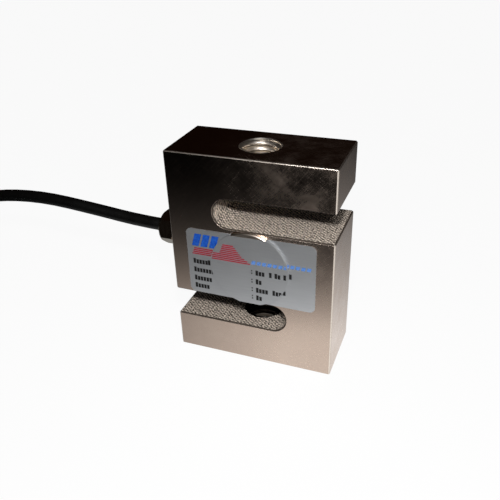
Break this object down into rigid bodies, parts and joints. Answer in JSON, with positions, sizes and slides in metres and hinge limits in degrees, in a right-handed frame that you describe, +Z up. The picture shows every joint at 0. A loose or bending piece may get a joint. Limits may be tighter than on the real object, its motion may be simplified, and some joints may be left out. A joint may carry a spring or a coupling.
{
  "type": "s type load cell",
  "caption": "S-shaped steel load cell with tapped holes in both arms, sealed gauge pockets, foil label, side cable gland and a coiled signal cable.",
  "frame": {"origin": "centre of the lower threaded hole's mouth, on the bottom face", "axes": "+Z up along the load line through both threaded holes, +X to the right along the width, +Y to the back; the label faces -Y and the cable leaves towards -X"},
  "size_m": [0.1941, 0.0587, 0.0686],
  "materials": {
    "nickel_plated_steel": "ground alloy steel, satin electroless nickel plating",
    "cover_steel": "turned stainless steel",
    "label_foil": "printed satin aluminium foil",
    "gauge_film": "constantan foil on polyimide film",
    "board_laminate": "glass-fibre laminate with tinned pads",
    "lead_copper": "enamelled copper wire",
    "core_red_pvc": "extruded PVC",
    "core_black_pvc": "extruded PVC",
    "core_green_pvc": "extruded PVC",
    "core_white_pvc": "extruded PVC",
    "silicone": "cast silicone rubber",
    "nickel_plated_brass": "nickel-plated turned brass",
    "seal_rubber": "moulded nitrile rubber",
    "washer_nylon": "natural nylon",
    "jacket_pvc": "extruded black PVC jacket",
    "tie_nylon": "moulded black nylon",
    "tinned_copper": "tinned copper braid, twisted"
  },
  "bodies": {
    "root": {"body": "nickel_plated_steel", "front_cover": "cover_steel", "rear_cover": "cover_steel", "label": "label_foil", "front_gauge": "gauge_film", "rear_gauge": "gauge_film", "span_resistor": "gauge_film", "zero_resistor": "gauge_film", "terminal_board": "board_laminate", "front_gauge_leads": "lead_copper", "rear_gauge_leads": "lead_copper", "inner_core_red": "core_red_pvc", "inner_core_black": "core_black_pvc", "inner_core_green": "core_green_pvc", "inner_core_white": "core_white_pvc", "front_potting": "silicone", "rear_potting": "silicone", "gland_body": "nickel_plated_brass", "gland_nut": "nickel_plated_brass", "gland_o_ring": "seal_rubber", "gland_seal": "seal_rubber", "gland_washer": "washer_nylon", "cable": "jacket_pvc", "cable_coil": "jacket_pvc", "cable_tail": "jacket_pvc", "coil_tie_near": "tie_nylon", "coil_tie_far": "tie_nylon", "core_red": "core_red_pvc", "core_black": "core_black_pvc", "core_green": "core_green_pvc", "core_white": "core_white_pvc", "shield_drain": "tinned_copper"}
  },
  "joints": []
}
